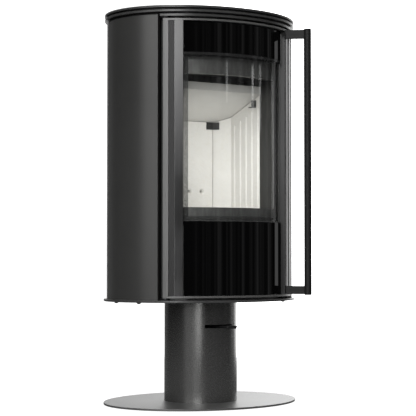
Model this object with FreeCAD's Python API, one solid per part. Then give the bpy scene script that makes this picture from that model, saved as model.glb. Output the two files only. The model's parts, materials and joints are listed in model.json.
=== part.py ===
"""Free-standing wood burning stove with an oval body on a round pedestal.

Millimetres, +Z up.  The origin is on the floor under the middle of the body.
The front of the stove faces -Y and +X is to the right of somebody facing it.
Every sub-part is one function that returns its shape, and SUBPARTS at the end
names the file that each shape is written to.

The body is an oval (an ellipse), so most sheet parts are curved panels.  A panel
is placed by its depth inside the outer oval and by two angles, in degrees, that
are 0 at the front, positive to the right and 180 at the back.
"""

import FreeCAD, Part
import math
import os

V = FreeCAD.Vector

# ---- driving dimensions --------------------------------------------------------

BODY_A = 263.0            # half width of the outer oval
BODY_B = 208.0            # half depth of the outer oval

BASE_A = 270.0            # floor plate, half width and half depth
BASE_B = 217.5
BASE_TOP = 5.0

PEDESTAL_R = 97.0
PEDESTAL_WALL = 3.0

BOTTOM_A = 271.0          # plate under the body
BOTTOM_B = 216.0
BOTTOM_Z0 = 271.0
BOTTOM_Z1 = 277.0

CLADDING_TOP = 1003.0
CLADDING_T = 2.0
CLADDING_FRONT = 52.8     # angle where the side cladding starts
CLADDING_REAR = 150.0     # angle where the rear panel starts

RING_Z0 = 998.5           # front header over the door
RING_Z1 = 1005.0
MIDDLE_A = 269.0          # lower of the two top plates
MIDDLE_B = 213.0
MIDDLE_Z0 = 1009.0
MIDDLE_Z1 = 1015.0
COVER_A = 269.5           # upper of the two top plates
COVER_B = 213.6
COVER_Z0 = 1020.0
COVER_Z1 = 1026.0

FLUE_Y = 20.0
FLUE_R = 75.5             # inside of the collar, for a 150 mm flue pipe
FLUE_WALL = 2.5
FLUE_TOP = 1046.0

DUCT_R = 50.0             # inside of the outside-air duct
DUCT_WALL = 1.5
DUCT_BORE_TOP = 150.0     # above this the duct widens into the valve's throat
VALVE_Z = 180.0           # top of the duct, under the air valve

SLOT_ANGLE = 26.0         # half opening of the air lever's slot
SLOT_Z = 205.0
SLOT_HEIGHT = 8.8
LEVER_ANGLE = 7.0         # where the lever stands at rest
LEVER_T = 3.0

DOOR_Z0 = 283.0
DOOR_Z1 = 993.0
DOOR_ANGLE = 49.5
DOOR_LIP = 5.0            # height of the lips above and below the front panels
FRAME_DEPTH0 = 6.0        # door frame, from this depth ...
FRAME_DEPTH1 = 22.0       # ... to this one
PANEL_ANGLE = 37.0        # half angle of the black glass
WINDOW_Z0 = 478.0
WINDOW_Z1 = 909.0
BORDER = 13.0             # printed border of the window, at its foot
BORDER_TOP = 11.0         # ... and at its top
BORDER_ANGLE = 34.3
PANE_DEPTH0 = 15.0        # window pane, set back behind the door's strips
PANE_DEPTH1 = 19.0
TAPE_T = 0.5              # glass tape and print behind the pane

HINGE_DEPTH = 10.0        # hinge axis inside the outer oval
HINGE_ANGLE = 48.0
HINGE_PIN_R = 4.0
HINGE_BUSH_R = 6.0

HANDLE_X = 212.7
HANDLE_Y = -195.4
HANDLE_R = 10.0
HANDLE_Z0 = 286.0
HANDLE_Z1 = 993.5
ARM_T = 8.0
ARM_ANGLE = 40.0          # where the handle arms meet the door
ARM_LEVELS = ((288.0, 310.0), (967.5, 991.5))

FRONT_DEPTH = 32.0        # outer face of the firebox front plate
FRONT_T = 3.0
MOUTH_Z0 = 514.0          # firebox opening
MOUTH_Z1 = 856.0
MOUTH_ANGLE = 38.0

LINING_X = 133.0          # inner faces of the side and back bricks
LINING_Y = 88.0
LINING_CORNER = 50.0      # where the side bricks end and the corner bricks start
LINING_FRONT = -87.0
BRICK_T = 25.0
BRICK_JOINT = 2.0
BAFFLE_JOINT = 2.0        # room between the bricks and the baffle
HEARTH_Z = 500.0
FLOOR_Z0 = 470.0
FLOOR_Z1 = 474.0
SHELL_T = 4.0
SHELL_TOP = 936.0
TOP_PLATE_T = 4.0

BAFFLE_REAR_Z = 761.6     # underside of the baffle at the back brick
BAFFLE_SLOPE = 0.354      # rise per millimetre towards the front
BAFFLE_T = 20.0
BAFFLE_FRONT = -90.0

FLUTE_PITCH = 28.0
FLUTE_FIRST = 31.0
FLUTE_COUNT = 5
FLUTE_R = 4.5

PLENUM_X = 98.0
PLENUM_Y0 = -98.0
PLENUM_Y1 = 142.0
PLENUM_TOP = 312.0
CHANNEL_X = 76.0
SHEET = 2.0

CHANNEL_Y0 = 117.0         # rear air channel, front and back
CHANNEL_Y1 = 141.0
CHANNEL_TOP = 700.0

POST_ANGLE0 = 53.35       # web of the front posts
POST_ANGLE1 = 54.1
POST_FACE_ANGLE = 50.3    # where the face of a post starts
POST_FACE_T = 3.0

SHIELD_DEPTH = 17.0       # convection shield inside the cladding
SHIELD_T = 1.5
SHIELD_ANGLE = 62.0
SHIELD_TOP = 985.0

SMOKE_PLATE_Z = 884.0     # underside of the plate over the baffle
SMOKE_PLATE_T = 3.0
SMOKE_PLATE_Y0 = -120.0
SMOKE_PLATE_Y1 = 55.0
SMOKE_FOLD = 14.0         # height of its folded edges

CATCH_LEVELS = (420.0, 800.0)
ROLLER_X = 170.4
ROLLER_Y = -92.0
ROLLER_R = 6.0
ROLLER_PIN_R = 2.5
ROLLER_H = 12.0
RUNNING_GAP = 0.05


# ---- shape helpers -------------------------------------------------------------

def block(x0, x1, y0, y1, z0, z1):
    return Part.makeBox(x1 - x0, y1 - y0, z1 - z0, V(x0, y0, z0))


def rod(x, y, radius, z0, z1):
    return Part.makeCylinder(radius, z1 - z0, V(x, y, z0))


def tube(x, y, outer, inner, z0, z1):
    return rod(x, y, outer, z0, z1).cut(rod(x, y, inner, z0 - 1, z1 + 1))


def prism(points, z0, z1):
    corners = [V(x, y, z0) for x, y in points]
    return Part.Face(Part.makePolygon(corners + [corners[0]])).extrude(V(0, 0, z1 - z0))


def oval(a, b, z0, z1):
    outline = Part.Wire([Part.Ellipse(V(0, 0, z0), a, b).toShape()])
    return Part.Face(outline).extrude(V(0, 0, z1 - z0))


def oval_at(depth, z0, z1):
    return oval(BODY_A - depth, BODY_B - depth, z0, z1)


def oval_ring(a, b, width, z0, z1):
    return oval(a, b, z0, z1).cut(oval(a - width, b - width, z0 - 1, z1 + 1))


def oval_point(depth, angle, z=0.0):
    turn = math.radians(angle)
    return V((BODY_A - depth) * math.sin(turn), -(BODY_B - depth) * math.cos(turn), z)


def oval_normal(angle):
    turn = math.radians(angle)
    outward = V(math.sin(turn) / BODY_A, -math.cos(turn) / BODY_B, 0)
    return outward.normalize()


def inside_point(depth, angle, z=0.0):
    """A point the given distance inside the oval, measured square to its surface."""
    return oval_point(0, angle, z) - oval_normal(angle) * depth


def panel(depth0, depth1, angle0, angle1, z0, z1):
    """A curved panel between two depths inside the outer oval and two angles."""
    start = math.radians(angle0 - 90)
    end = math.radians(angle1 - 90)
    arcs = []
    for depth in (depth0, depth1):
        ellipse = Part.Ellipse(V(0, 0, z0), BODY_A - depth, BODY_B - depth)
        arcs.append(Part.ArcOfEllipse(ellipse, start, end).toShape())
    outer, inner = arcs
    sides = []
    for angle in (angle0, angle1):
        sides.append(Part.makeLine(oval_point(depth0, angle, z0), oval_point(depth1, angle, z0)))
    outline = Part.Wire(Part.__sortEdges__([outer, inner] + sides))
    return Part.Face(outline).extrude(V(0, 0, z1 - z0))


def panel_frame(depth0, depth1, outer, inner):
    """A curved frame: outer and inner are (half angle, low z, high z)."""
    whole = panel(depth0, depth1, -outer[0], outer[0], outer[1], outer[2])
    hole = panel(depth0 - 1, depth1 + 1, -inner[0], inner[0], inner[1], inner[2])
    return whole.cut(hole)


def fuse(shapes):
    whole = shapes[0]
    if len(shapes) > 1:
        whole = whole.multiFuse(shapes[1:])
    return whole.removeSplitter()


def cut_all(shape, tools):
    return shape.cut(list(tools))


def mirrored(shape):
    return shape.mirror(V(0, 0, 0), V(1, 0, 0))


def sided(shape, side):
    """The right-hand shape, or its mirror image for side -1."""
    return shape if side > 0 else mirrored(shape)


def both_sides(build):
    """The left and right pieces of a mirrored pair, as one group of two solids."""
    return Part.makeCompound([build(-1), build(1)])


def round_rims(shape, radius, shortest=500.0):
    """Rounds the long curved edges of an oval plate."""
    rims = [edge for edge in shape.Edges if edge.Length > shortest]
    return shape.makeFillet(radius, rims)


def round_uprights(shape, radius, spots):
    """Rounds the vertical edges that stand nearest to the given points."""
    chosen = []
    for spot in spots:
        uprights = [edge for edge in shape.Edges if is_upright(edge)]
        chosen.append(min(uprights, key=lambda edge: flat_distance(edge, spot)))
    return shape.makeFillet(radius, chosen)


def is_upright(edge):
    ends = [vertex.Point for vertex in edge.Vertexes]
    return len(ends) == 2 and flat_gap(ends[0], ends[1]) < 0.001


def flat_gap(first, second):
    return math.hypot(first.x - second.x, first.y - second.y)


def flat_distance(edge, spot):
    return flat_gap(edge.Vertexes[0].Point, spot)


def hexagon(x, y, across, z0, z1):
    corner = across / math.sqrt(3)
    points = []
    for index in range(6):
        turn = math.radians(60 * index)
        points.append((x + corner * math.cos(turn), y + corner * math.sin(turn)))
    return prism(points, z0, z1)


def around(radius, count, first=45.0):
    """Points evenly spaced on a circle about the pedestal's axis."""
    points = []
    for index in range(count):
        turn = math.radians(first + 360.0 * index / count)
        points.append((radius * math.cos(turn), radius * math.sin(turn)))
    return points


def dome_head(radius, height, z, up=1):
    """A low dome with its flat side at z, bulging up or down."""
    ball_r = (radius * radius + height * height) / (2 * height)
    ball = Part.makeSphere(ball_r, V(0, 0, z + up * (height - ball_r)))
    slab_z = z if up > 0 else z - height
    return ball.common(rod(0, 0, radius + 1, slab_z, slab_z + height))


def moved(shape, x, y, z=0.0):
    return shape.translated(V(x, y, z))


# ---- base and pedestal ---------------------------------------------------------

FOOT_BOLT_R = 76.0
HEAD_BOLT_R = 78.0
BOLT_R = 4.0
RING_INNER_R = 64.0
RING_T = 8.0


def base_plate():
    plate = round_rims(oval(BASE_A, BASE_B, 0, BASE_TOP), 1.0)
    plate = plate.cut(rod(0, 0, DUCT_R + DUCT_WALL, -1, BASE_TOP + 1))
    for x, y in around(FOOT_BOLT_R, 4):
        sink = Part.makeCone(BOLT_R * 2, BOLT_R, BASE_TOP, V(x, y, 0))
        plate = plate.cut(sink)
    return plate


def foot_screws():
    """Countersunk screws from under the floor plate into the foot ring."""
    screws = []
    for x, y in around(FOOT_BOLT_R, 4):
        head = Part.makeCone(BOLT_R * 2 - 0.5, BOLT_R, BASE_TOP - 0.5, V(x, y, 0.5))
        screws.append(head.fuse(rod(x, y, BOLT_R, BASE_TOP, BASE_TOP + RING_T)).removeSplitter())
    return screws


def pedestal_ring(z0, bolt_circle):
    ring = tube(0, 0, PEDESTAL_R - PEDESTAL_WALL, RING_INNER_R, z0, z0 + RING_T)
    for x, y in around(bolt_circle, 4):
        ring = ring.cut(rod(x, y, BOLT_R, z0 - 1, z0 + RING_T + 1))
    return ring


def pedestal_rings():
    """Bolting rings inside the foot and the head of the pedestal tube."""
    foot = pedestal_ring(BASE_TOP, FOOT_BOLT_R)
    head = pedestal_ring(BOTTOM_Z0 - RING_T, HEAD_BOLT_R)
    return Part.makeCompound([foot, head])


def pedestal_tube():
    shell = tube(0, 0, PEDESTAL_R, PEDESTAL_R - PEDESTAL_WALL, BASE_TOP, BOTTOM_Z0)
    low = SLOT_Z - SLOT_HEIGHT / 2
    wedge = Part.makeCylinder(PEDESTAL_R + 10, SLOT_HEIGHT, V(0, 0, low), V(0, 0, 1), 2 * SLOT_ANGLE)
    wedge.rotate(V(0, 0, 0), V(0, 0, 1), -90 - SLOT_ANGLE)
    return shell.cut(wedge)


def pedestal_bolts():
    bolts = foot_screws()
    for x, y in around(HEAD_BOLT_R, 4):
        ring_bottom = BOTTOM_Z0 - RING_T
        head = hexagon(x, y, 13.0, ring_bottom - 5.5, ring_bottom)
        shank = rod(x, y, BOLT_R, ring_bottom, BOTTOM_Z1 + 9)
        nut = hexagon(x, y, 13.0, BOTTOM_Z1, BOTTOM_Z1 + 6.5)
        bolts.append(fuse([head, shank, nut]))
    return Part.makeCompound(bolts)


def outside_air_duct():
    """Duct from the floor to the valve, with a wider throat under the valve seat."""
    throat_r = DUCT_R + 2
    throat_outer = throat_r + DUCT_WALL
    lower = tube(0, 0, DUCT_R + DUCT_WALL, DUCT_R, 0, DUCT_BORE_TOP)
    step = tube(0, 0, throat_outer, DUCT_R, DUCT_BORE_TOP - DUCT_WALL, DUCT_BORE_TOP)
    throat = tube(0, 0, throat_outer, throat_r, DUCT_BORE_TOP, VALVE_Z)
    return fuse([lower, step, throat])


# ---- combustion air valve ------------------------------------------------------

SPINDLE_R = 6.0
VALVE_HUB_R = 12.0
VALVE_SEAT_T = 4.0
DAMPER_R = 54.0
DAMPER_T = 3.0
DAMPER_Z = VALVE_Z + VALVE_SEAT_T + 0.3
PORT_INNER = 18.0
PORT_OUTER = 46.0
PORT_ANGLE = 42.0


def air_port(z0, z1, middle):
    """A ring segment that stands for one opening of the air valve."""
    wedge = Part.makeCylinder(PORT_OUTER, z1 - z0, V(0, 0, z0), V(0, 0, 1), PORT_ANGLE)
    wedge = wedge.cut(rod(0, 0, PORT_INNER, z0 - 1, z1 + 1))
    wedge.rotate(V(0, 0, 0), V(0, 0, 1), middle - PORT_ANGLE / 2)
    return wedge


def air_valve_seat():
    plate = rod(0, 0, PEDESTAL_R - PEDESTAL_WALL, VALVE_Z, VALVE_Z + VALVE_SEAT_T)
    hub = rod(0, 0, VALVE_HUB_R, VALVE_Z - 8, VALVE_Z)
    seat = fuse([plate, hub])
    seat = seat.cut(rod(0, 0, SPINDLE_R + RUNNING_GAP, VALVE_Z - 9, VALVE_Z + VALVE_SEAT_T + 1))
    for middle in (0, 90, 180, 270):
        seat = seat.cut(air_port(VALVE_Z - 1, VALVE_Z + VALVE_SEAT_T + 1, middle))
    return seat


def air_damper_disc():
    disc = rod(0, 0, DAMPER_R, DAMPER_Z, DAMPER_Z + DAMPER_T)
    hub = rod(0, 0, VALVE_HUB_R, DAMPER_Z + DAMPER_T, SLOT_Z - LEVER_T / 2)
    damper = fuse([disc, hub])
    damper = damper.cut(rod(0, 0, SPINDLE_R, DAMPER_Z - 1, SLOT_Z))
    for middle in (20, 110, 200, 290):
        damper = damper.cut(air_port(DAMPER_Z - 1, DAMPER_Z + DAMPER_T + 1, middle))
    return damper


def air_spindle():
    shaft = rod(0, 0, SPINDLE_R, VALVE_Z - 14, SLOT_Z + LEVER_T / 2 + 8)
    clip = tube(0, 0, SPINDLE_R + 3, SPINDLE_R, VALVE_Z - 11, VALVE_Z - 9.5)
    nut = hexagon(0, 0, 19.0, SLOT_Z + LEVER_T / 2, SLOT_Z + LEVER_T / 2 + 6)
    return fuse([shaft, clip, nut])


def air_lever():
    """Flat lever that leaves the pedestal through the slot and ends in a bent tab."""
    z0 = SLOT_Z - LEVER_T / 2
    z1 = SLOT_Z + LEVER_T / 2
    neck_half = 8.0
    tab_half = 18.5
    tab_start = PEDESTAL_R + 3.0
    tab_end = PEDESTAL_R + 35.0
    lip_drop = 4.0
    eye = rod(0, 0, 16.0, z0, z1)
    neck = block(-neck_half, neck_half, -tab_start - 4, 0, z0, z1)
    tab = block(-tab_half, tab_half, -tab_end, -tab_start, z0, z1)
    corners = [V(-tab_half, -tab_end, 0), V(tab_half, -tab_end, 0)]
    inner_corners = [V(-tab_half, -tab_start, 0), V(tab_half, -tab_start, 0)]
    tab = round_uprights(tab, 5.0, corners + inner_corners)
    lip = block(-tab_half + 5, tab_half - 5, -tab_end, -tab_end + LEVER_T, z0 - lip_drop, z0)
    lever = fuse([eye, neck, tab, lip]).cut(rod(0, 0, SPINDLE_R, z0 - 1, z1 + 1))
    lever.rotate(V(0, 0, 0), V(0, 0, 1), LEVER_ANGLE)
    return lever


# ---- body floor, cladding and posts --------------------------------------------

CLADDING_BOLT_ANGLES = (43.0, 68.5, 96.0, 124.0, 146.0)
CLADDING_BOLT_INSET = 15.0
CLADDING_BOLT_R = 3.0
FLANGE_T = 2.0


def rim_bolt_spots():
    """Where each rim bolt stands and how high its shank reaches."""
    spots = []
    for angle in CLADDING_BOLT_ANGLES:
        reach = BOTTOM_Z1 + (FLANGE_T + 4 if angle > CLADDING_FRONT else 2)
        for side in (-1, 1):
            point = inside_point(CLADDING_BOLT_INSET, side * angle)
            spots.append((point.x, point.y, reach))
    return spots


def body_bottom_plate():
    plate = round_rims(oval(BOTTOM_A, BOTTOM_B, BOTTOM_Z0, BOTTOM_Z1), 1.0)
    plate = plate.cut(rod(0, 0, RING_INNER_R, BOTTOM_Z0 - 1, BOTTOM_Z1 + 1))
    for x, y in around(HEAD_BOLT_R, 4):
        plate = plate.cut(rod(x, y, BOLT_R, BOTTOM_Z0 - 1, BOTTOM_Z1 + 1))
    for x, y, _ in rim_bolt_spots():
        plate = plate.cut(rod(x, y, CLADDING_BOLT_R, BOTTOM_Z0 - 1, BOTTOM_Z1 + 1))
    return plate


def body_fasteners():
    """Rim bolts of the body floor, screws of the rear panel and bolts of the flue collar."""
    return Part.makeCompound(rim_bolts() + rear_panel_screws() + flue_bolts())


def rim_bolts():
    bolts = []
    for x, y, reach in rim_bolt_spots():
        head = moved(dome_head(6.5, 4.5, BOTTOM_Z0, -1), x, y)
        socket = hexagon(x, y, 4.0, BOTTOM_Z0 - 6, BOTTOM_Z0 - 2.5)
        shank = rod(x, y, CLADDING_BOLT_R, BOTTOM_Z0, reach)
        bolts.append(fuse([head.cut(socket), shank]))
    return bolts


def cladding(side):
    skin = panel(0, CLADDING_T, CLADDING_FRONT, CLADDING_REAR - 0.2, BOTTOM_Z1, CLADDING_TOP)
    turned_edge = panel(0, 12, CLADDING_FRONT, CLADDING_FRONT + 0.5, BOTTOM_Z1, CLADDING_TOP)
    lap = panel(CLADDING_T, CLADDING_T + 1.5, 145.0, 154.0, BOTTOM_Z1 + 4, CLADDING_TOP - 4)
    pieces = [skin, turned_edge, lap]
    for angle in CLADDING_BOLT_ANGLES[1:]:
        pieces.append(panel(CLADDING_T - 0.5, 24, angle - 4, angle + 4, BOTTOM_Z1, BOTTOM_Z1 + FLANGE_T))
    shell = round_uprights(fuse(pieces), 1.2, [oval_point(0, CLADDING_FRONT)])
    holes = []
    for angle in CLADDING_BOLT_ANGLES[1:]:
        spot = inside_point(CLADDING_BOLT_INSET, angle)
        holes.append(rod(spot.x, spot.y, CLADDING_BOLT_R, BOTTOM_Z1 - 1, BOTTOM_Z1 + 5))
    for z in REAR_SCREW_LEVELS:
        holes.append(square_rod(REAR_SCREW_ANGLE, z, 2.0, -2, 8))
    return sided(cut_all(shell, holes), side)


def left_cladding():
    return cladding(-1)


def right_cladding():
    return cladding(1)


REAR_SCREW_LEVELS = (320.0, 640.0, 960.0)
REAR_SCREW_ANGLE = 152.0


def rear_screw_spots():
    spots = []
    for z in REAR_SCREW_LEVELS:
        spots.append((REAR_SCREW_ANGLE, z))
        spots.append((360 - REAR_SCREW_ANGLE, z))
    return spots


def square_rod(angle, z, radius, depth0, depth1):
    """A rod that stands square to the oval, between two depths below its surface."""
    normal = oval_normal(angle)
    start = oval_point(0, angle, z) - normal * depth0
    return Part.makeCylinder(radius, depth1 - depth0, start, normal * -1)


REAR_SLOT_PITCH = 18.0
REAR_SLOT_W = 7.0
REAR_SLOT_H = 46.0
REAR_SLOT_LEVELS = (318.0, 930.0)


def rear_seams():
    """Angles where the strips of the rear skin meet, clear of its slots and screws."""
    offsets = [(index + 0.5) * REAR_SLOT_PITCH for index in range(6)] + [115.0]
    turns = [math.degrees(math.asin(offset / BODY_A)) for offset in offsets]
    inner = sorted([180 - turn for turn in turns] + [180 + turn for turn in turns])
    return [CLADDING_REAR + 0.2] + inner + [359.8 - CLADDING_REAR]


def rear_panel():
    """Rear skin with slots for the warm air, joined from strips so that it stays evenly thick."""
    slots = []
    for z in REAR_SLOT_LEVELS:
        for index in range(-5, 6):
            x0 = index * REAR_SLOT_PITCH - REAR_SLOT_W / 2
            slots.append(block(x0, x0 + REAR_SLOT_W, 150, 230, z - REAR_SLOT_H / 2, z + REAR_SLOT_H / 2))
    for angle, z in rear_screw_spots():
        slots.append(square_rod(angle, z, 2.0, -2, 8))
    seams = rear_seams()
    strips = []
    for start, end in zip(seams[:-1], seams[1:]):
        strips.append(panel(0, CLADDING_T, start, end, BOTTOM_Z1, CLADDING_TOP))
    skin = strips[0].multiFuse(strips[1:])
    return cut_all(skin, slots)


def rear_panel_screws():
    screws = []
    for angle, z in rear_screw_spots():
        shank = square_rod(angle, z, 2.0, 0, 7)
        head = square_rod(angle, z, 4.2, -2.2, 0)
        head = head.cut(square_rod(angle, z, 1.3, -3, -0.8))
        screws.append(fuse([head, shank]))
    return screws


def front_post(side):
    """Angle post that closes the dark joint between the door and the cladding."""
    web = panel(CLADDING_T, FRONT_DEPTH, POST_ANGLE0, POST_ANGLE1, BOTTOM_Z1, CLADDING_TOP)
    face = panel(FRONT_DEPTH - POST_FACE_T, FRONT_DEPTH, POST_FACE_ANGLE, POST_ANGLE1, BOTTOM_Z1, RING_Z0)
    post = fuse([web, face])
    if side > 0:
        post = cut_all(post, catch_slots())
    return sided(post, side)


def front_posts():
    return both_sides(front_post)


def catch_slots():
    slots = []
    for z in CATCH_LEVELS:
        slots.append(block(175.0, 187.0, -135, -90, z - 11, z + 11))
    return slots


def convection_shield():
    """Sheet that guides warm air up between the firebox and the cladding."""
    sheet = panel(SHIELD_DEPTH, SHIELD_DEPTH + SHIELD_T, SHIELD_ANGLE, 360 - SHIELD_ANGLE,
                  BOTTOM_Z1, SHIELD_TOP)
    vents = []
    for angle in range(70, 300, 20):
        vents.append(panel(10, 25, angle - 5, angle + 5, BOTTOM_Z1 + 12, BOTTOM_Z1 + 34))
    for angle in CLADDING_BOLT_ANGLES[1:]:
        for middle in (angle, 360 - angle):
            vents.append(panel(10, 25, middle - 5, middle + 5, BOTTOM_Z1 - 1, BOTTOM_Z1 + 9))
    return cut_all(sheet, vents)


# ---- air path inside the body --------------------------------------------------

def air_plenum():
    """Open-bottomed box on the body floor that takes air to the rear channel."""
    box = block(-PLENUM_X, PLENUM_X, PLENUM_Y0, PLENUM_Y1, BOTTOM_Z1, PLENUM_TOP)
    room = block(-PLENUM_X + SHEET, PLENUM_X - SHEET, PLENUM_Y0 + SHEET, PLENUM_Y1 - SHEET,
                 BOTTOM_Z1 - 1, PLENUM_TOP - SHEET)
    outlet = block(-CHANNEL_X + SHEET, CHANNEL_X - SHEET, CHANNEL_Y0 + SHEET, CHANNEL_Y1 - SHEET,
                   PLENUM_TOP - 5, PLENUM_TOP + 5)
    return box.cut(room).cut(outlet)


AIR_HOLE_X = (-60.0, -20.0, 20.0, 60.0)
AIR_HOLE_Z = 567.0
AIR_HOLE_R = 4.0


def air_holes(radius, y0, y1):
    holes = []
    for x in AIR_HOLE_X:
        holes.append(Part.makeCylinder(radius, y1 - y0, V(x, y0, AIR_HOLE_Z), V(0, 1, 0)))
    return holes


def rear_air_channel():
    """Flat duct behind the firebox that feeds the air holes of the back brick."""
    outer = block(-CHANNEL_X, CHANNEL_X, CHANNEL_Y0, CHANNEL_Y1, PLENUM_TOP, CHANNEL_TOP)
    inner = block(-CHANNEL_X + SHEET, CHANNEL_X - SHEET, CHANNEL_Y0 - 1, CHANNEL_Y1 - SHEET,
                  PLENUM_TOP - 1, CHANNEL_TOP - SHEET)
    return outer.cut(inner)


# ---- firebox steel -------------------------------------------------------------

def lining_outline(grow):
    """Outline of the lining's outer side, grown outwards, from front right round the back."""
    side_x = LINING_X + BRICK_T + grow
    back_y = LINING_Y + BRICK_T + grow
    corner_sum = LINING_X + LINING_CORNER + (BRICK_T + grow) * math.sqrt(2)
    front_y = -(BODY_B - FRONT_DEPTH)
    right = [(side_x, front_y), (side_x, corner_sum - side_x), (corner_sum - back_y, back_y)]
    left = [(-x, y) for x, y in reversed(right)]
    return right + left


def inside_front(shape, z0, z1):
    """Trims a shape to the inner face of the curved front plate."""
    return shape.common(oval_at(FRONT_DEPTH + FRONT_T, z0, z1))


def firebox_shell():
    outer = prism(lining_outline(SHELL_T), BOTTOM_Z1, SHELL_TOP)
    inner = prism(lining_outline(0), BOTTOM_Z1 - 1, SHELL_TOP + 1)
    mouth = block(-LINING_X - BRICK_T, LINING_X + BRICK_T, -300, 0, BOTTOM_Z1 - 1, SHELL_TOP + 1)
    shell = inside_front(outer.cut(inner).cut(mouth), BOTTOM_Z1, SHELL_TOP)
    plenum = block(-PLENUM_X, PLENUM_X, 0, 200, BOTTOM_Z1 - 1, PLENUM_TOP)
    return cut_all(shell.cut(plenum), air_holes(AIR_HOLE_R + 1, 100, 130))


def firebox_floor():
    plate = inside_front(prism(lining_outline(0), FLOOR_Z0, FLOOR_Z1), FLOOR_Z0, FLOOR_Z1)
    return plate.cut(block(-GRATE_X + 10, GRATE_X - 10, -GRATE_Y + 10, GRATE_Y - 10,
                           FLOOR_Z0 - 1, FLOOR_Z1 + 1))


def firebox_top_plate():
    plate = inside_front(prism(lining_outline(SHELL_T), SHELL_TOP, SHELL_TOP + TOP_PLATE_T),
                         SHELL_TOP, SHELL_TOP + TOP_PLATE_T)
    plate = plate.cut(rod(0, FLUE_Y, FLUE_STOP_R, SHELL_TOP - 1, SHELL_TOP + 10))
    for x, y in flue_bolt_spots():
        plate = plate.cut(rod(x, y, CLADDING_BOLT_R, SHELL_TOP - 1, SHELL_TOP + 10))
    return plate


def firebox_front_plate():
    plate = panel(FRONT_DEPTH, FRONT_DEPTH + FRONT_T, -52, 52, BOTTOM_Z1, RING_Z0)
    mouth = panel(FRONT_DEPTH - 5, FRONT_DEPTH + 10, -MOUTH_ANGLE, MOUTH_ANGLE, MOUTH_Z0, MOUTH_Z1)
    ash_mouth = panel(FRONT_DEPTH - 5, FRONT_DEPTH + 10, -25, 25, ASH_Z0 + 2, ASH_Z1)
    return cut_all(plate, [mouth, ash_mouth] + catch_slots())


def firebox_cheek(side):
    """Steel cheek that holds the side brick and leads from it to the firebox mouth."""
    front = oval_point(FRONT_DEPTH + FRONT_T, MOUTH_ANGLE)
    start_x = LINING_X + 0.2
    start_y = LINING_FRONT - 0.2
    top = MOUTH_Z1 + 4
    points = [(start_x, start_y), (LINING_X + BRICK_T, start_y), (LINING_X + BRICK_T, start_y - 2.5),
              (start_x + 2.8, start_y - 2.5), (front.x + 3.2, front.y - 3), (front.x + 0.5, front.y - 3)]
    cheek = inside_front(prism(points, HEARTH_Z, top), HEARTH_Z, top)
    baffle_room = block(LINING_X - 10, LINING_X + 40, BAFFLE_FRONT - 0.5, 0, 822, top + 1)
    return sided(cheek.cut(baffle_room), side)


def firebox_cheeks():
    return both_sides(firebox_cheek)


def airwash_deflector():
    """Angle along the top of the firebox mouth that turns clean air down the glass."""
    shelf = panel(FRONT_DEPTH + FRONT_T, FRONT_DEPTH + 22, -36, 36, MOUTH_Z1 + 1, MOUTH_Z1 + 3)
    lip = panel(FRONT_DEPTH + 20, FRONT_DEPTH + 22, -36, 36, MOUTH_Z1 + 3, MOUTH_Z1 + 26)
    return fuse([shelf, lip])


def smoke_deflector():
    """Steel plate over the baffle, open at the back for the smoke to pass."""
    half = LINING_X + BRICK_T - 1.0
    low = SMOKE_PLATE_Z - SMOKE_FOLD
    pieces = [block(-half, half, SMOKE_PLATE_Y0, SMOKE_PLATE_Y1,
                    SMOKE_PLATE_Z, SMOKE_PLATE_Z + SMOKE_PLATE_T)]
    for x0 in (-half, half - SMOKE_PLATE_T):
        pieces.append(block(x0, x0 + SMOKE_PLATE_T, SMOKE_PLATE_Y0, SMOKE_PLATE_Y1, low, SMOKE_PLATE_Z))
    return fuse(pieces)


def deflector_pegs():
    peg_r = 4.0
    pegs = []
    for side in (-1, 1):
        for y in (-90.0, 25.0):
            start = V(side * (LINING_X + BRICK_T), y, SMOKE_PLATE_Z - SMOKE_FOLD - peg_r)
            pegs.append(Part.makeCylinder(peg_r, 16, start, V(-side, 0, 0)))
    return pegs


# ---- flue ----------------------------------------------------------------------

FLUE_FLANGE_R = 95.0
FLUE_BOLT_CIRCLE = 87.0
FLUE_STOP_R = 70.5


def flue_bolt_spots():
    return [(x, y + FLUE_Y) for x, y in around(FLUE_BOLT_CIRCLE, 3, -90.0)]


def flue_collar():
    base = SHELL_TOP + TOP_PLATE_T
    collar = tube(0, FLUE_Y, FLUE_R + FLUE_WALL, FLUE_R, base, FLUE_TOP)
    flange = tube(0, FLUE_Y, FLUE_FLANGE_R, FLUE_R, base, base + 4)
    stop = tube(0, FLUE_Y, FLUE_R + 0.5, FLUE_STOP_R, base, base + 3)
    whole = fuse([collar, flange, stop])
    for x, y in flue_bolt_spots():
        whole = whole.cut(rod(x, y, CLADDING_BOLT_R, base - 1, base + 5))
    return whole


def flue_bolts():
    base = SHELL_TOP + TOP_PLATE_T
    bolts = []
    for x, y in flue_bolt_spots():
        shank = rod(x, y, CLADDING_BOLT_R, SHELL_TOP - 5, base + 4)
        head = hexagon(x, y, 10.0, base + 4, base + 8)
        bolts.append(fuse([shank, head]))
    return bolts


# ---- vermiculite lining, grate and ash pan ------------------------------------

GRATE_X = 78.0
GRATE_Y = 52.0
ASH_X = 90.0
ASH_Y0 = -148.0
ASH_Y1 = 66.0
ASH_Z0 = 392.0
ASH_Z1 = 462.0


def below_baffle(shape, gap=BAFFLE_JOINT):
    """Trims a brick to the sloping underside of the baffle."""
    low_y = -400.0
    high_y = 400.0
    points = []
    for y in (low_y, high_y):
        points.append(V(-400, y, BAFFLE_REAR_Z + BAFFLE_SLOPE * (LINING_Y - y) - gap))
    upper = [V(-400, high_y, 2000), V(-400, low_y, 2000)]
    outline = points + upper
    wedge = Part.Face(Part.makePolygon(outline + [outline[0]])).extrude(V(800, 0, 0))
    return shape.cut(wedge)


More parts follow.
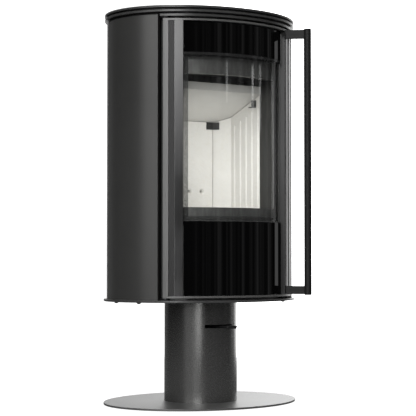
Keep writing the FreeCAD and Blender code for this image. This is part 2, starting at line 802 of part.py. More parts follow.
def side_brick(side):
    brick = block(LINING_X, LINING_X + BRICK_T, LINING_FRONT, LINING_CORNER, HEARTH_Z, 900)
    brick = below_baffle(brick)
    for index in range(FLUTE_COUNT):
        y = FLUTE_FIRST - index * FLUTE_PITCH
        top = BAFFLE_REAR_Z + BAFFLE_SLOPE * (LINING_Y - y) - 34
        axis_x = LINING_X - 1.2
        groove = rod(axis_x, y, FLUTE_R, HEARTH_Z - 1, top)
        end = Part.makeSphere(FLUTE_R, V(axis_x, y, top))
        brick = brick.cut(groove).cut(end)
    return sided(brick, side)


def side_bricks():
    return both_sides(side_brick)


def corner_brick(side):
    joint = BRICK_JOINT
    outline = lining_outline(0)
    points = [(LINING_X, LINING_CORNER + joint), (LINING_X + BRICK_T, LINING_CORNER + joint),
              outline[1], outline[2], (lining_back_x() + joint, LINING_Y + BRICK_T),
              (lining_back_x() + joint, LINING_Y)]
    return sided(below_baffle(prism(points, HEARTH_Z, 900)), side)


def lining_back_x():
    """Half width of the back brick, where the 45 degree corner bricks start."""
    return LINING_X + LINING_CORNER - LINING_Y


def corner_bricks():
    return both_sides(corner_brick)


def back_brick():
    half = lining_back_x()
    brick = below_baffle(block(-half, half, LINING_Y, LINING_Y + BRICK_T, HEARTH_Z, 900))
    brick = cut_all(brick, air_holes(AIR_HOLE_R, 80, 120))
    for x in AIR_HOLE_X:
        start = V(x, LINING_Y - 0.01, AIR_HOLE_Z)
        brick = brick.cut(Part.makeCone(8.5, AIR_HOLE_R, 4.0, start, V(0, 1, 0)))
    return brick


def hearth_bricks():
    slab = inside_front(prism(lining_outline(0), FLOOR_Z1, HEARTH_Z), FLOOR_Z1, HEARTH_Z)
    slab = slab.cut(block(-GRATE_X, GRATE_X, -GRATE_Y, GRATE_Y, FLOOR_Z1 - 1, HEARTH_Z + 1))
    return slab.cut(block(-0.4, 0.4, -300, 300, FLOOR_Z1 - 1, HEARTH_Z + 1))


def grate():
    gap = 0.8
    plate = block(-GRATE_X + gap, GRATE_X - gap, -GRATE_Y + gap, GRATE_Y - gap, FLOOR_Z1, FLOOR_Z1 + 14)
    slots = []
    for index in range(-6, 7):
        x = index * 11.0
        slots.append(block(x - 3, x + 3, -GRATE_Y + 10, -4, FLOOR_Z1 - 1, HEARTH_Z))
        slots.append(block(x - 3, x + 3, 4, GRATE_Y - 10, FLOOR_Z1 - 1, HEARTH_Z))
    return cut_all(plate, slots)


def baffle_board():
    rear_y = LINING_Y + BRICK_T - 0.5
    rise = BAFFLE_SLOPE * (LINING_Y - BAFFLE_FRONT)
    drop = BAFFLE_SLOPE * (rear_y - LINING_Y)
    corners = [V(0, rear_y, BAFFLE_REAR_Z - drop), V(0, BAFFLE_FRONT, BAFFLE_REAR_Z + rise),
               V(0, BAFFLE_FRONT, BAFFLE_REAR_Z + rise + BAFFLE_T),
               V(0, rear_y, BAFFLE_REAR_Z - drop + BAFFLE_T)]
    half = LINING_X + BRICK_T - 0.5
    outline = [corner + V(-half, 0, 0) for corner in corners]
    board = Part.Face(Part.makePolygon(outline + [outline[0]])).extrude(V(2 * half, 0, 0))
    return board.common(prism(lining_outline(-0.5), 600, 900))


def rear_bracket(side):
    """Bent angle that sits in the corner between the back brick and a corner brick."""
    leg = 20.0
    thick = 1.5
    x = lining_back_x()
    z1 = BAFFLE_REAR_Z - 1.5
    slant = leg / math.sqrt(2)
    inner = 0.3
    points = [(x - leg, LINING_Y - inner), (x, LINING_Y - inner), (x + slant, LINING_Y - slant - inner),
              (x + slant - 1.1, LINING_Y - slant - inner - 1.1), (x - 0.6, LINING_Y - inner - thick),
              (x - leg, LINING_Y - inner - thick)]
    rises_to = z1 - 0.5
    return sided(prism(points, rises_to - leg, rises_to), side)


def side_bracket(side):
    """Flat steel lug on a side brick that carries the front of the baffle."""
    middle = -61.0
    half = 10.0
    top = BAFFLE_REAR_Z + BAFFLE_SLOPE * (LINING_Y - middle - half) - 1.0
    lug = block(LINING_X - 2.0, LINING_X - 0.3, middle - half, middle + half, top - 20, top)
    shelf = block(LINING_X - 12.0, LINING_X - 2.0, middle - half, middle + half, top - 20, top - 18)
    return sided(fuse([lug, shelf]), side)


def baffle_brackets():
    """Angles and lugs under the baffle, and the pegs that carry the smoke deflector."""
    shapes = deflector_pegs()
    for side in (-1, 1):
        shapes.append(rear_bracket(side))
        shapes.append(side_bracket(side))
    return Part.makeCompound(shapes)


def ash_compartment():
    outer = block(-ASH_X - 6, ASH_X + 6, -170, ASH_Y1 + 6, ASH_Z0 - SHEET, FLOOR_Z0)
    inner = block(-ASH_X - 4, ASH_X + 4, -300, ASH_Y1 + 4, ASH_Z0, FLOOR_Z0 + 1)
    return inside_front(outer.cut(inner), ASH_Z0 - SHEET, FLOOR_Z0)


def ash_pan():
    wall = 1.5
    top = ASH_Z1 - 6
    outer = block(-ASH_X, ASH_X, ASH_Y0, ASH_Y1, ASH_Z0, top)
    outer = round_uprights(outer, 8, [V(x, y, 0) for x in (-ASH_X, ASH_X) for y in (ASH_Y0, ASH_Y1)])
    inner = block(-ASH_X + wall, ASH_X - wall, ASH_Y0 + wall, ASH_Y1 - wall, ASH_Z0 + wall, top + 1)
    inner = round_uprights(inner, 6.5, [V(x, y, 0) for x in (-ASH_X + wall, ASH_X - wall)
                                        for y in (ASH_Y0 + wall, ASH_Y1 - wall)])
    return fuse([outer.cut(inner)] + ash_pan_handle())


def ash_pan_handle():
    bars = [Part.makeCylinder(3, 60, V(-30, ASH_Y0 - 12, 430), V(1, 0, 0))]
    for x in (-26.0, 26.0):
        bars.append(Part.makeCylinder(3, 13, V(x, ASH_Y0 + 1, 430), V(0, -1, 0)))
    return bars


# ---- top -----------------------------------------------------------------------

def front_top_ring():
    ring = panel(0, FRONT_DEPTH + FRONT_T, -51.5, 51.5, RING_Z0, RING_Z1)
    rims = [edge for edge in ring.Edges if edge.Length > 300 and edge.BoundBox.YMin < -BODY_B + 1]
    return ring.makeFillet(0.8, rims)


def rear_top_ring():
    """Flat ring that ties the tops of the side and rear cladding together."""
    return panel(CLADDING_T, 32, 52.2, 307.8, CLADDING_TOP, RING_Z1)


def spacer_rings():
    """Recessed black rings under each of the two top plates."""
    lower = oval_ring(BODY_A - 6, BODY_B - 6, 18, RING_Z1, MIDDLE_Z0)
    upper = oval_ring(BODY_A, BODY_B, 18, MIDDLE_Z1, COVER_Z0)
    return Part.makeCompound([lower, upper])


def warm_air_slots(z0, z1):
    """Ring segments around the flue where the warm air leaves."""
    segments = []
    for index in range(8):
        wedge = Part.makeCylinder(120, z1 - z0, V(0, FLUE_Y, z0), V(0, 0, 1), 34)
        wedge = wedge.cut(rod(0, FLUE_Y, 108, z0 - 1, z1 + 1))
        wedge.rotate(V(0, FLUE_Y, 0), V(0, 0, 1), 45 * index + 5.5)
        segments.append(wedge)
    return segments


def top_plate(a, b, z0, z1, hole_r):
    plate = round_rims(oval(a, b, z0, z1), 1.2)
    plate = plate.cut(rod(0, FLUE_Y, hole_r, z0 - 1, z1 + 1))
    return cut_all(plate, warm_air_slots(z0 - 1, z1 + 1))


def middle_top_plate():
    return top_plate(MIDDLE_A, MIDDLE_B, MIDDLE_Z0, MIDDLE_Z1, 84.0)


def top_cover_plate():
    return top_plate(COVER_A, COVER_B, COVER_Z0, COVER_Z1, 81.0)


# ---- door ----------------------------------------------------------------------

STRIP_ANGLES = (42.75, 45.85)     # the glossy strip beside the black glass
EDGE_STRIP_ANGLE = 46.15          # where the outer strip of the door starts
GLASS_STRIP_ANGLE = 42.3          # where the strip at the glass ends
TRIM_SCREW_ANGLE = 44.3
TRIM_SCREW_LEVELS = (335.0, 556.0, 768.0, 940.0)
STRIP_BACK = 6.0
GLASS_FRONT = 11.0                # the black glass lies deep between its edge strips
GLASS_BACK = 14.7
RECESS_ANGLE = 41.3               # half angle of the recess in the door frame
REBATE_ANGLE = 41.2               # and of the deeper rebate for the window pane
TOP_TRIM_H = 7.0                  # dark trim under the upper black glass


def hinge_axis(z=0.0):
    return inside_point(HINGE_DEPTH, -HINGE_ANGLE, z)


def arm_screw_levels():
    return [(z0 + z1) / 2 for z0, z1 in ARM_LEVELS]


def arm_line():
    """Start on the door, direction and length of a handle arm, seen from above."""
    start = oval_point(0, ARM_ANGLE)
    reach = V(HANDLE_X, HANDLE_Y, 0) - start
    length = reach.Length
    return start, reach.normalize(), length


def arm_rod(z, radius, before, after):
    """A rod along a handle arm's middle line, from before to after its foot."""
    start, along, _ = arm_line()
    foot = V(start.x, start.y, z) - along * before
    return Part.makeCylinder(radius, before + after, foot, along)


def door_frame():
    """Frame with a recess for the black glass, a rebate for the pane and hollows behind."""
    low = DOOR_Z0 + DOOR_LIP
    high = DOOR_Z1 - DOOR_LIP
    back = panel(GLASS_BACK, FRAME_DEPTH1, -DOOR_ANGLE, DOOR_ANGLE, low, high)
    rebate = panel(GLASS_BACK - 1, PANE_DEPTH1 + TAPE_T, -REBATE_ANGLE, REBATE_ANGLE,
                   WINDOW_Z0 - 12, WINDOW_Z1 + 12)
    back = back.cut(rebate).cut(panel(0, 30, -37.5, 37.5, WINDOW_Z0 + 2, WINDOW_Z1 - 2))
    for z0, z1 in ((296, WINDOW_Z0 - 20), (WINDOW_Z1 + 20, 984)):
        back = back.cut(panel(GLASS_BACK + 3, 30, -36, 36, z0, z1))
    for hole in arm_screw_holes():
        back = back.cut(hole)
    frame = fuse([back, door_stile(-1), door_stile(1), door_lip(DOOR_Z0), door_lip(high)])
    for room in stile_hollows() + trim_screw_holes() + hinge_bush_holes():
        frame = frame.cut(room)
    return frame


def door_stile(side):
    """Raised side of the door frame, under the outer strips."""
    return sided(panel(FRAME_DEPTH0, GLASS_BACK, RECESS_ANGLE, DOOR_ANGLE,
                       DOOR_Z0 + DOOR_LIP, DOOR_Z1 - DOOR_LIP), side)


def door_lip(z0):
    return panel(0, FRAME_DEPTH1, -DOOR_ANGLE, DOOR_ANGLE, z0, z0 + DOOR_LIP)


def stile_hollows():
    hollows = []
    for side in (-1, 1):
        first, last = sorted((side * 42.6, side * 45.8))
        for z0, z1 in ((312, 520), (532, 740), (752, 960)):
            hollows.append(panel(10, 30, first, last, z0, z1))
    return hollows


def trim_screw_holes():
    return [square_rod(side * TRIM_SCREW_ANGLE, z, 1.5, 2, 12) for side, z in trim_screw_spots()]


def arm_screw_holes():
    return [arm_rod(z, 3.0, 40, 0) for z in arm_screw_levels()]


def trim_screw_spots():
    return [(side, z) for side in (-1, 1) for z in TRIM_SCREW_LEVELS]


def door_screws():
    screws = handle_screws()
    for side, z in trim_screw_spots():
        shank = square_rod(side * TRIM_SCREW_ANGLE, z, 1.5, 4.5, 10.3)
        head = square_rod(side * TRIM_SCREW_ANGLE, z, 3.0, 10.3, 12.3)
        screws.append(fuse([shank, head]))
    return Part.makeCompound(screws)


def door_edge_strip(side):
    strip = panel(0, STRIP_BACK, EDGE_STRIP_ANGLE, DOOR_ANGLE, DOOR_Z0 + DOOR_LIP, DOOR_Z1 - DOOR_LIP)
    return cut_all(sided(strip, side), hinge_bush_holes())


def door_edge_strips():
    return both_sides(door_edge_strip)


def door_trim_strip(side):
    strip = panel(2.2, STRIP_BACK, *STRIP_ANGLES, DOOR_Z0 + DOOR_LIP, DOOR_Z1 - DOOR_LIP)
    for z in TRIM_SCREW_LEVELS:
        strip = strip.cut(square_rod(TRIM_SCREW_ANGLE, z, 1.5, 4.5, 12))
    return sided(strip, side)


def door_trim_strips():
    return both_sides(door_trim_strip)


def glass_edge_strip(side):
    """Bar beside the black glass that holds the glass and the window pane at their edge."""
    z0 = DOOR_Z0 + DOOR_LIP
    z1 = DOOR_Z1 - DOOR_LIP
    face = panel(0, STRIP_BACK, PANEL_ANGLE + 0.15, GLASS_STRIP_ANGLE, z0, z1)
    back = panel(STRIP_BACK, GLASS_BACK, PANEL_ANGLE + 0.15, RECESS_ANGLE - 0.1, z0, z1)
    strip = fuse([face, back])
    if side > 0:
        for z in arm_screw_levels():
            strip = strip.cut(arm_rod(z, 3.0, 40, 10))
    return sided(strip, side)


def glass_edge_strips():
    """The two edge bars and the dark trim between them at the window's top."""
    top_trim = panel(GLASS_FRONT + 0.8, GLASS_BACK, -PANEL_ANGLE, PANEL_ANGLE,
                     WINDOW_Z1 - TOP_TRIM_H, WINDOW_Z1)
    return Part.makeCompound([glass_edge_strip(-1), glass_edge_strip(1), top_trim])


def black_panel(z0, z1):
    glass = panel(GLASS_FRONT, GLASS_BACK, -PANEL_ANGLE, PANEL_ANGLE, z0, z1)
    front_y = GLASS_FRONT - BODY_B
    rims = [edge for edge in glass.Edges if edge.Length > 250 and edge.BoundBox.YMin < front_y + 1]
    return glass.makeFillet(0.8, rims)


def upper_glass_panel():
    return black_panel(WINDOW_Z1, DOOR_Z1 - DOOR_LIP - 0.4)


def lower_glass_panel():
    return black_panel(DOOR_Z0 + DOOR_LIP + 0.4, WINDOW_Z0)


def window_glass():
    return panel(PANE_DEPTH0, PANE_DEPTH1, -41, 41, WINDOW_Z0 - 10, WINDOW_Z1 + 10)


def window_border():
    """Grey print round the inside of the window pane."""
    outer = (37.4, WINDOW_Z0 + 2.2, WINDOW_Z1 - 2.2)
    inner = (BORDER_ANGLE, WINDOW_Z0 + BORDER, WINDOW_Z1 - BORDER_TOP)
    return panel_frame(PANE_DEPTH1, PANE_DEPTH1 + TAPE_T, outer, inner)


def glass_gasket():
    """Flat tape between the window pane and the door frame."""
    outer = (40.8, WINDOW_Z0 - 9, WINDOW_Z1 + 9)
    inner = (37.7, WINDOW_Z0 + 1, WINDOW_Z1 - 1)
    return panel_frame(PANE_DEPTH1, PANE_DEPTH1 + TAPE_T, outer, inner)


GASKET_T = 9.6
GASKET_W = 11.0


def door_gasket():
    """Rope seal on the back of the door that presses on the firebox front plate."""
    outer = (41.4, WINDOW_Z0 - 15, WINDOW_Z1 + 15)
    inner = (38.6, WINDOW_Z0 - 15 + GASKET_W, WINDOW_Z1 + 15 - GASKET_W)
    return panel_frame(FRAME_DEPTH1, FRAME_DEPTH1 + GASKET_T, outer, inner)


def handle_bar():
    bar = rod(HANDLE_X, HANDLE_Y, HANDLE_R, HANDLE_Z0, HANDLE_Z1)
    return bar.makeFillet(1.0, [edge for edge in bar.Edges if not is_upright(edge)])


def handle_arm(level):
    """Flat bar that carries the handle, from the door's surface to the round bar."""
    z0, z1 = level
    start, along, length = arm_line()
    arm = block(-12, length, -ARM_T / 2, ARM_T / 2, z0, z1)
    arm.rotate(V(0, 0, 0), V(0, 0, 1), math.degrees(math.atan2(along.y, along.x)))
    arm = moved(arm, start.x, start.y)
    arm = arm.cut(oval_at(0, z0 - 1, z1 + 1))
    arm = arm.cut(rod(HANDLE_X, HANDLE_Y, HANDLE_R, z0 - 1, z1 + 1))
    arm = max(arm.Solids, key=lambda solid: solid.Volume)
    return arm.cut(arm_rod((z0 + z1) / 2, 3.0, 40, 18))


def handle_arms():
    return Part.makeCompound([handle_arm(level) for level in ARM_LEVELS])


def handle_screws():
    screws = []
    for z in arm_screw_levels():
        shank = arm_rod(z, 3.0, 26, 18)
        inner_skin = oval_at(FRAME_DEPTH1, z - 10, z + 10)
        shank = shank.cut(inner_skin)
        head = arm_rod(z, 5.0, 40, 0).common(inner_skin)
        head = head.cut(oval_at(FRAME_DEPTH1 + 4, z - 10, z + 10))
        screws.append(fuse([shank, head]))
    return screws


# ---- hinges --------------------------------------------------------------------

BUSH_LENGTH = 20.0
BRACKET_T = 4.0


def hinge_bush_spans():
    return ((DOOR_Z0, DOOR_Z0 + BUSH_LENGTH), (DOOR_Z1 - BUSH_LENGTH, DOOR_Z1))


def hinge_bush_holes():
    axis = hinge_axis()
    return [rod(axis.x, axis.y, HINGE_BUSH_R, z0, z1) for z0, z1 in hinge_bush_spans()]


def hinge_bush(span):
    axis = hinge_axis()
    return tube(axis.x, axis.y, HINGE_BUSH_R, HINGE_PIN_R + RUNNING_GAP, span[0], span[1])


def hinge_bushes():
    return Part.makeCompound([hinge_bush(span) for span in hinge_bush_spans()])


def hinge_bracket(z0, z1):
    """Plate that reaches from the front post to the hinge pin."""
    axis = hinge_axis()
    eye = rod(axis.x, axis.y, 10.0, z0, z1)
    arm = block(-10, 10, 0, 30, z0, z1)
    arm.rotate(V(0, 0, 0), V(0, 0, 1), 10)
    arm = moved(arm, axis.x, axis.y)
    bracket = fuse([eye, arm]).common(oval_at(1.0, z0 - 1, z1 + 1))
    bracket = bracket.cut(rod(axis.x, axis.y, HINGE_PIN_R, z0 - 1, z1 + 1))
    post = panel(CLADDING_T - 3, FRONT_DEPTH + FRONT_T, -60, -52.0, z0 - 1, z1 + 1)
    face = panel(FRONT_DEPTH - POST_FACE_T, 60, -60, 0, z0 - 1, z1 + 1)
    return cut_all(bracket, [post, face])


def hinge_brackets():
    lower = hinge_bracket(BOTTOM_Z1, BOTTOM_Z1 + BRACKET_T)
    upper = hinge_bracket(RING_Z0 - BRACKET_T, RING_Z0)
    return Part.makeCompound([lower, upper])


def hinge_pins():
    """Fixed pins of the two hinges, the lower one with a collar that carries the door."""
    axis = hinge_axis()
    lower = rod(axis.x, axis.y, HINGE_PIN_R, BOTTOM_Z1, DOOR_Z0 + BUSH_LENGTH - 2)
    collar = rod(axis.x, axis.y, 8.5, BOTTOM_Z1 + BRACKET_T, DOOR_Z0 - 0.3)
    upper = rod(axis.x, axis.y, HINGE_PIN_R, DOOR_Z1 - BUSH_LENGTH + 2, RING_Z0)
    return Part.makeCompound([fuse([lower, collar]), upper])


# ---- door catches --------------------------------------------------------------

WALL_X = LINING_X + BRICK_T + SHELL_T


def catch_bracket(z):
    plate = block(WALL_X, WALL_X + 2, ROLLER_Y - 12, ROLLER_Y + 12, z - 14, z + 14)
    ears = []
    for z0 in (z + ROLLER_H / 2 + 0.5, z - ROLLER_H / 2 - 2.5):
        ears.append(block(WALL_X + 2, ROLLER_X + 4, ROLLER_Y - 6, ROLLER_Y + 6, z0, z0 + 2))
    bracket = fuse([plate] + ears)
    return bracket.cut(rod(ROLLER_X, ROLLER_Y, ROLLER_PIN_R, z - 20, z + 20))


def catch_pin(z):
    pin = rod(ROLLER_X, ROLLER_Y, ROLLER_PIN_R, z - 9.5, z + 8.5)
    return fuse([pin, rod(ROLLER_X, ROLLER_Y, ROLLER_PIN_R + 1.2, z + 8.5, z + 10)])


def catch_roller(z):
    roller = tube(ROLLER_X, ROLLER_Y, ROLLER_R, ROLLER_PIN_R + RUNNING_GAP,
                  z - ROLLER_H / 2, z + ROLLER_H / 2)
    rims = [edge for edge in roller.Edges if not is_upright(edge) and edge.Length > 30]
    return roller.makeFillet(1.0, rims)


def latch_tongue(z):
    """Steel tongue on the door that passes the catch roller as the door closes."""
    blade = block(177.0, 180.0, -140, -86, z - 9, z + 9)
    nose = [V(177.0, -86, 0), V(180.0, -86, 0)]
    blade = round_uprights(blade, 1.4, nose)
    foot = block(166.0, 180.0, -150, -117, z - 9, z + 9)
    foot = foot.cut(oval_at(FRAME_DEPTH1 + 3, z - 10, z + 10))
    tongue = fuse([blade, foot])
    return tongue.common(oval_at(FRAME_DEPTH1, z - 20, z + 20))


def catch_brackets():
    """Brackets on the firebox wall, each with its riveted pin."""
    brackets = [catch_bracket(z) for z in CATCH_LEVELS]
    pins = [catch_pin(z) for z in CATCH_LEVELS]
    return Part.makeCompound(brackets + pins)


def lower_catch_roller():
    return catch_roller(CATCH_LEVELS[0])


def upper_catch_roller():
    return catch_roller(CATCH_LEVELS[1])


def latch_tongues():
    return Part.makeCompound([latch_tongue(z) for z in CATCH_LEVELS])


# ---- output --------------------------------------------------------------------

SUBPARTS = (
    base_plate, pedestal_rings, pedestal_tube, pedestal_bolts, outside_air_duct,
    air_valve_seat, air_damper_disc, air_spindle, air_lever,
    body_bottom_plate, body_fasteners, left_cladding, right_cladding, rear_panel,
    front_posts, convection_shield, air_plenum, rear_air_channel,
    firebox_shell, firebox_floor, firebox_top_plate, firebox_front_plate, firebox_cheeks,
    airwash_deflector, smoke_deflector, flue_collar,
    side_bricks, corner_bricks, back_brick, hearth_bricks, grate,
    baffle_board, baffle_brackets, ash_compartment, ash_pan,
    front_top_ring, rear_top_ring, spacer_rings, middle_top_plate, top_cover_plate,
    door_frame, door_screws, door_edge_strips, door_trim_strips, glass_edge_strips,
    upper_glass_panel, lower_glass_panel, window_glass, window_border, glass_gasket,
    door_gasket, handle_bar, handle_arms, latch_tongues,
    hinge_bushes, hinge_brackets, hinge_pins, catch_brackets,
    lower_catch_roller, upper_catch_roller,
)


def main():
    os.makedirs("parts", exist_ok=True)
    for build in SUBPARTS:
        shape = build()
        solids = shape.Solids
        if not solids or not shape.isValid():
            raise RuntimeError("bad shape: " + build.__name__)
        whole = solids[0] if len(solids) == 1 else Part.makeCompound(solids)
        whole.exportStep("parts/" + build.__name__ + ".step")
        print(build.__name__, len(solids), round(whole.Volume))


main()
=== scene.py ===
"""The wood burning stove's looks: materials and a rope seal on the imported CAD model."""

import json
import math
import random

import bmesh
import bpy
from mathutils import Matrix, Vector


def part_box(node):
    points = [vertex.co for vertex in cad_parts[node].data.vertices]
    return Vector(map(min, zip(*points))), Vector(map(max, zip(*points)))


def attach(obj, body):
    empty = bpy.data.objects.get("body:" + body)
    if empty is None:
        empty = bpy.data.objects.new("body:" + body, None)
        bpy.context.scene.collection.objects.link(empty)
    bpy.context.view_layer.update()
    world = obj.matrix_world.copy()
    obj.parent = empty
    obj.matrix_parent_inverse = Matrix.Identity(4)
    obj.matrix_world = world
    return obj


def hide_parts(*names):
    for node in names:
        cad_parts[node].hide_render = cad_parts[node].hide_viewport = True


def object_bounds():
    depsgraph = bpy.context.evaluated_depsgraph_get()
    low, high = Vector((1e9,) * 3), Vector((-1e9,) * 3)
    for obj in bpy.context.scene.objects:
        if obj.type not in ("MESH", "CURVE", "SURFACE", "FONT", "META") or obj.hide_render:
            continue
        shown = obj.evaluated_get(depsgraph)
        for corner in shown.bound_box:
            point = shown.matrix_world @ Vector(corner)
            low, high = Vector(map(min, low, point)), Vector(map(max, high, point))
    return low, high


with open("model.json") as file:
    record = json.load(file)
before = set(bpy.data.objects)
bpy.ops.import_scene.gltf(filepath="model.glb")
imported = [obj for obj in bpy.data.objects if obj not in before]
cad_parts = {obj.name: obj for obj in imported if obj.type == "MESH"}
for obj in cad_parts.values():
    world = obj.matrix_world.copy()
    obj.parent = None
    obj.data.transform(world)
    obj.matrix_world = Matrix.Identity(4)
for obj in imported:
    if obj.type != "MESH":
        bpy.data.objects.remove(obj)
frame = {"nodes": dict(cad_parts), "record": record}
cad_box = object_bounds()
random.seed(11)

# ---- shader helpers -----------------------------------------------------------

MIX_FIRST, MIX_SECOND, MIX_RESULT = 6, 7, 2     # the colour sockets of a Mix node


class Shader:
    """A material's node tree, with short ways to add nodes and join them."""

    def __init__(self, name, world=False):
        self.holder = bpy.data.worlds.new(name) if world else bpy.data.materials.new(name)
        self.holder.use_nodes = True
        self.tree = self.holder.node_tree
        self.tree.nodes.clear()
        kind = "ShaderNodeOutputWorld" if world else "ShaderNodeOutputMaterial"
        self.output = self.tree.nodes.new(kind)
        coordinates = self.tree.nodes.new("ShaderNodeTexCoord")
        self.place = coordinates.outputs["Generated" if world else "Object"]

    def add(self, kind, inputs=None, **settings):
        node = self.tree.nodes.new("ShaderNode" + kind)
        for name, value in settings.items():
            setattr(node, name, value)
        for name, value in (inputs or {}).items():
            self.put(node.inputs[name], value)
        return node

    def put(self, socket, value):
        """Joins an output to a socket, or sets the socket to a plain value."""
        if isinstance(value, bpy.types.NodeSocket):
            self.tree.links.new(value, socket)
        else:
            socket.default_value = value

    def maths(self, operation, first, second=None):
        node = self.add("Math", operation=operation)
        self.put(node.inputs[0], first)
        if second is not None:
            self.put(node.inputs[1], second)
        return node.outputs[0]

    def scaled(self, stretch):
        node = self.add("Mapping", {"Vector": self.place, "Scale": stretch})
        return node.outputs[0]

    def noise(self, scale, detail=2.0, rough=0.5, stretch=None):
        where = self.scaled(stretch) if stretch else self.place
        inputs = {"Vector": where, "Scale": scale, "Detail": detail, "Roughness": rough}
        return self.add("TexNoise", inputs).outputs["Fac"]

    def cells(self, scale, output="Distance", stretch=None):
        where = self.scaled(stretch) if stretch else self.place
        return self.add("TexVoronoi", {"Vector": where, "Scale": scale}).outputs[output]

    def span(self, value, low, high, to_low=0.0, to_high=1.0):
        """Maps low..high of a value smoothly to to_low..to_high, held at both ends."""
        inputs = {"From Min": low, "From Max": high, "To Min": to_low, "To Max": to_high}
        node = self.add("MapRange", inputs, interpolation_type="SMOOTHSTEP")
        self.put(node.inputs["Value"], value)
        return node.outputs["Result"]

    def blend(self, factor, first, second):
        node = self.add("Mix", data_type="RGBA")
        self.put(node.inputs["Factor"], factor)
        for index, colour in ((MIX_FIRST, first), (MIX_SECOND, second)):
            self.put(node.inputs[index], (*colour, 1) if isinstance(colour, tuple) else colour)
        return node.outputs[MIX_RESULT]

    def bump(self, height, distance, strength, below=None):
        inputs = {"Height": height, "Distance": distance, "Strength": strength}
        if below is not None:
            inputs["Normal"] = below
        return self.add("Bump", inputs).outputs["Normal"]

    def surface(self, **sockets):
        """A Principled shader; sockets are its input names with _ for a space."""
        inputs = {name.replace("_", " "): value for name, value in sockets.items()}
        colour = inputs.get("Base Color")
        if isinstance(colour, tuple):
            inputs["Base Color"] = (*colour, 1)
        return self.add("BsdfPrincipled", inputs).outputs["BSDF"]

    def done(self, shader):
        self.put(self.output.inputs["Surface"], shader)
        return self.holder


def shade(colour, factor):
    return tuple(channel * factor for channel in colour)


# ---- materials ----------------------------------------------------------------

GLASS_MIRRORS = 0.043        # share of the light that the pane mirrors, seen squarely
PRINT_COVER = 0.5            # share of the window's border that the printed dots cover
FLOOR_GLOW = 0.95            # own light that makes the floor show as white to the camera


def powder_coat(name, colour, rough, specular=0.5, metallic=0.0):
    """Fine-textured stove paint: a grain of about a millimetre over a slow orange peel."""
    s = Shader(name)
    grit = s.noise(900.0, 2.0, 0.6)
    peel = s.noise(70.0, 2.0)
    patches = s.noise(6.0, 3.0)
    tone = s.maths("ADD", s.span(grit, 0.3, 0.7, 0.0, 0.5),
                   s.span(patches, 0.3, 0.7, 0.0, 0.5))
    paint = s.blend(tone, shade(colour, 0.9), shade(colour, 1.1))
    roughness = s.span(grit, 0.25, 0.75, rough - 0.04, rough + 0.04)
    normal = s.bump(grit, 0.00006, 0.6, s.bump(peel, 0.00015, 0.25))
    return s.done(s.surface(Base_Color=paint, Roughness=roughness, Normal=normal,
                            Specular_IOR_Level=specular, Metallic=metallic))


def gloss_paint(name, colour, rough, specular=0.5):
    """Semi-gloss enamel on rolled strip, with faint lines along the strip."""
    s = Shader(name)
    lines = s.noise(260.0, 2.0, 0.6, (1, 1, 0.02))
    smudge = s.noise(9.0, 3.0, 0.6)
    paint = s.blend(s.span(lines, 0.3, 0.7), shade(colour, 0.9), shade(colour, 1.1))
    roughness = s.maths("ADD", s.span(smudge, 0.3, 0.7, rough - 0.02, rough + 0.03),
                        s.span(lines, 0.3, 0.7, -0.015, 0.015))
    normal = s.bump(lines, 0.00002, 0.35)
    return s.done(s.surface(Base_Color=paint, Roughness=roughness, Normal=normal,
                            Specular_IOR_Level=specular))


def recess_black(name, colour):
    """Matt heat-proof black inside the joints, with a little dust on it."""
    s = Shader(name)
    grit = s.noise(600.0, 3.0, 0.6)
    dust = s.noise(25.0, 4.0, 0.6)
    paint = s.blend(s.span(dust, 0.45, 0.8, 0.0, 0.5), colour, shade(colour, 2.2))
    roughness = s.span(grit, 0.3, 0.7, 0.55, 0.75)
    return s.done(s.surface(Base_Color=paint, Roughness=roughness,
                            Normal=s.bump(grit, 0.0001, 0.4), Specular_IOR_Level=0.3))


def firebox_steel(name, colour):
    """Heat-resistant grey coat on rolled plate, darker where smoke has passed."""
    s = Shader(name)
    mill = s.noise(120.0, 3.0, 0.6, (1, 1, 0.15))
    soot = s.noise(11.0, 4.0, 0.55)
    clean = s.blend(s.span(mill, 0.3, 0.7), shade(colour, 0.85), shade(colour, 1.15))
    paint = s.blend(s.span(soot, 0.5, 0.8, 0.0, 0.45), clean, shade(colour, 0.35))
    roughness = s.maths("ADD", s.span(mill, 0.3, 0.7, 0.36, 0.44),
                        s.span(soot, 0.5, 0.8, 0.0, 0.15))
    normal = s.bump(mill, 0.00012, 0.35)
    return s.done(s.surface(Base_Color=paint, Roughness=roughness, Normal=normal, Metallic=0.6))


def zinc_sheet(name, colour):
    """Galvanised sheet: crystals of the zinc coat in slightly different greys."""
    s = Shader(name)
    grey = s.add("SeparateColor", {"Color": s.cells(85.0, "Color")}).outputs[0]
    scratch = s.noise(300.0, 3.0, 0.6, (1, 1, 0.05))
    paint = s.blend(grey, shade(colour, 0.8), shade(colour, 1.15))
    roughness = s.maths("ADD", s.span(grey, 0.0, 1.0, 0.32, 0.48),
                        s.span(scratch, 0.5, 0.8, 0.0, 0.08))
    normal = s.bump(scratch, 0.00003, 0.3)
    return s.done(s.surface(Base_Color=paint, Roughness=roughness, Normal=normal, Metallic=1.0))


def bare_metal(name, colour, rough, stretch=(1, 1, 0.08), grain=500.0):
    """Turned or ground metal: fine scratches along one way and a few dull patches."""
    s = Shader(name)
    scratch = s.noise(grain, 3.0, 0.65, stretch)
    patch = s.noise(60.0, 3.0, 0.6)
    paint = s.blend(s.span(patch, 0.35, 0.7), colour, shade(colour, 0.72))
    roughness = s.maths("ADD", s.span(scratch, 0.3, 0.7, rough - 0.06, rough + 0.06),
                        s.span(patch, 0.4, 0.7, 0.0, 0.1))
    normal = s.bump(scratch, 0.00003, 0.5)
    return s.done(s.surface(Base_Color=paint, Roughness=roughness, Normal=normal, Metallic=1.0))


